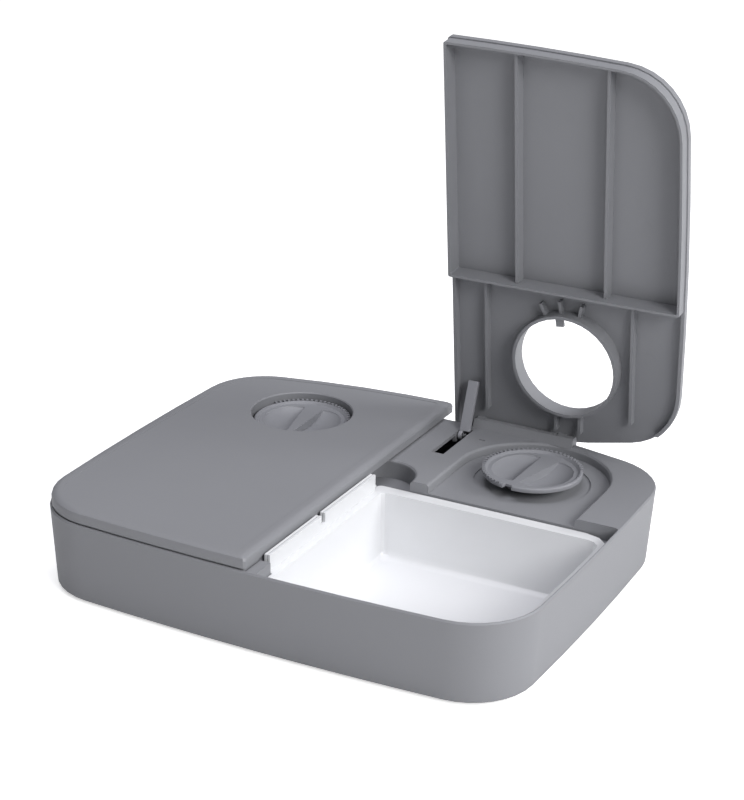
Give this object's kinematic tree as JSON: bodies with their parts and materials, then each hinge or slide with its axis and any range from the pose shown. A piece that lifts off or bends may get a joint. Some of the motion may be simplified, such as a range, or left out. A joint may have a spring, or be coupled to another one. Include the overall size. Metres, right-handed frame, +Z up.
{
  "type": "two-meal automatic pet feeder",
  "caption": "Low grey timed pet feeder: two white food bowls under two hinged lids, each freed by a countdown dial behind its bowl and thrown open by a sprung lever.",
  "frame": {"origin": "on the ground under the middle of the feeder's footprint", "axes": "+X to the right seen from the front, +Y to the hinge side at the rear, +Z up"},
  "size_m": [0.331, 0.281, 0.3241],
  "materials": {
    "body_plastic": "satin grey",
    "lid_plastic": "satin grey",
    "dial_plastic": "satin grey",
    "lever_plastic": "satin grey",
    "bowl_plastic": "glossy white",
    "gear_plastic": "natural",
    "copper_wire": "enamelled winding wire",
    "circuit_board": "coated board",
    "timer_plastic": "dark grey",
    "steel": "bright drawn",
    "spring_steel": "drawn wire",
    "contact_steel": "nickel plated",
    "screw_steel": "zinc plated",
    "battery_sleeve": "plain sleeve, no marks",
    "foot_rubber": "matte"
  },
  "bodies": {
    "base": {"housing": "body_plastic", "bottom_cover": "body_plastic", "bowl_right": "bowl_plastic", "timer_case_right": "timer_plastic", "timer_cover_right": "timer_plastic", "timer_board_right": "circuit_board", "motor_coil_right": "copper_wire", "lever_pin_right": "steel", "lever_spring_right": "spring_steel", "hinge_pin_right": "steel", "battery_right": "battery_sleeve", "battery_plate_right": "contact_steel", "battery_spring_right": "contact_steel", "cover_screw_1_right": "screw_steel", "cover_screw_2_right": "screw_steel", "cover_screw_3_right": "screw_steel", "foot_front_right": "foot_rubber", "foot_rear_right": "foot_rubber", "bowl_left": "bowl_plastic", "timer_case_left": "timer_plastic", "timer_cover_left": "timer_plastic", "timer_board_left": "circuit_board", "motor_coil_left": "copper_wire", "lever_pin_left": "steel", "lever_spring_left": "spring_steel", "hinge_pin_left": "steel", "battery_left": "battery_sleeve", "battery_plate_left": "contact_steel", "battery_spring_left": "contact_steel", "cover_screw_1_left": "screw_steel", "cover_screw_2_left": "screw_steel", "cover_screw_3_left": "screw_steel", "foot_front_left": "foot_rubber", "foot_rear_left": "foot_rubber"},
    "lid_right": {"lid_right": "lid_plastic"},
    "lever_right": {"lever_right": "lever_plastic"},
    "dial_right": {"dial_right": "dial_plastic", "dial_spindle_right": "gear_plastic"},
    "idler_right": {"timer_idler_right": "gear_plastic"},
    "rotor_right": {"motor_rotor_right": "gear_plastic"},
    "door_right": {"battery_door_right": "body_plastic"},
    "lid_left": {"lid_left": "lid_plastic"},
    "lever_left": {"lever_left": "lever_plastic"},
    "dial_left": {"dial_left": "dial_plastic", "dial_spindle_left": "gear_plastic"},
    "idler_left": {"timer_idler_left": "gear_plastic"},
    "rotor_left": {"motor_rotor_left": "gear_plastic"},
    "door_left": {"battery_door_left": "body_plastic"}
  },
  "joints": [
    {"name": "lid_right_hinge", "type": "hinge", "parent": "base", "child": "lid_right", "pos_m": [0.0515, 0.1298, 0.0566], "axis": [-1, 0, 0], "range_deg": [-83, 0], "stiffness_Nm_per_rad": 0.2, "springref_deg": 17.19},
    {"name": "lever_right_turn", "type": "hinge", "parent": "base", "child": "lever_right", "pos_m": [0.0173, 0.114, 0.051], "axis": [-1, 0, 0], "range_deg": [-110, 0]},
    {"name": "dial_right_turn", "type": "hinge", "parent": "base", "child": "dial_right", "pos_m": [0.085, 0.073, 0.05], "axis": [0, 0, 1], "range_deg": [0, 330]},
    {"name": "idler_right_turn", "type": "hinge", "parent": "base", "child": "idler_right", "pos_m": [0.06765, 0.06669, 0.042], "axis": [0, 0, 1], "range_deg": [-1188, 0]},
    {"name": "rotor_right_turn", "type": "hinge", "parent": "base", "child": "rotor_right", "pos_m": [0.06216, 0.08178, 0.038], "axis": [0, 0, 1], "range_deg": [0, 3564]},
    {"name": "battery_door_right_slide", "type": "slide", "parent": "base", "child": "door_right", "axis": [0, 0, -1], "range_m": [0, 0.015]},
    {"name": "lid_left_hinge", "type": "hinge", "parent": "base", "child": "lid_left", "pos_m": [-0.0515, 0.1298, 0.0566], "axis": [-1, 0, 0], "range_deg": [0, 83]},
    {"name": "lever_left_turn", "type": "hinge", "parent": "base", "child": "lever_left", "pos_m": [-0.0173, 0.114, 0.051], "axis": [-1, 0, 0], "range_deg": [0, 110]},
    {"name": "dial_left_turn", "type": "hinge", "parent": "base", "child": "dial_left", "pos_m": [-0.085, 0.073, 0.05], "axis": [0, 0, 1], "range_deg": [0, 330]},
    {"name": "idler_left_turn", "type": "hinge", "parent": "base", "child": "idler_left", "pos_m": [-0.06765, 0.06669, 0.042], "axis": [0, 0, 1], "range_deg": [-1188, 0]},
    {"name": "rotor_left_turn", "type": "hinge", "parent": "base", "child": "rotor_left", "pos_m": [-0.06216, 0.08178, 0.038], "axis": [0, 0, 1], "range_deg": [0, 3564]},
    {"name": "battery_door_left_slide", "type": "slide", "parent": "base", "child": "door_left", "axis": [0, 0, -1], "range_m": [0, 0.015]}
  ],
  "couplings": [
    {"joint": "lever_right_turn", "follows": "lid_right_hinge", "ratio": 1.325},
    {"joint": "idler_right_turn", "follows": "dial_right_turn", "ratio": -3.6},
    {"joint": "rotor_right_turn", "follows": "dial_right_turn", "ratio": 10.8},
    {"joint": "lever_left_turn", "follows": "lid_left_hinge", "ratio": 1.325},
    {"joint": "idler_left_turn", "follows": "dial_left_turn", "ratio": -3.6},
    {"joint": "rotor_left_turn", "follows": "dial_left_turn", "ratio": 10.8}
  ]
}
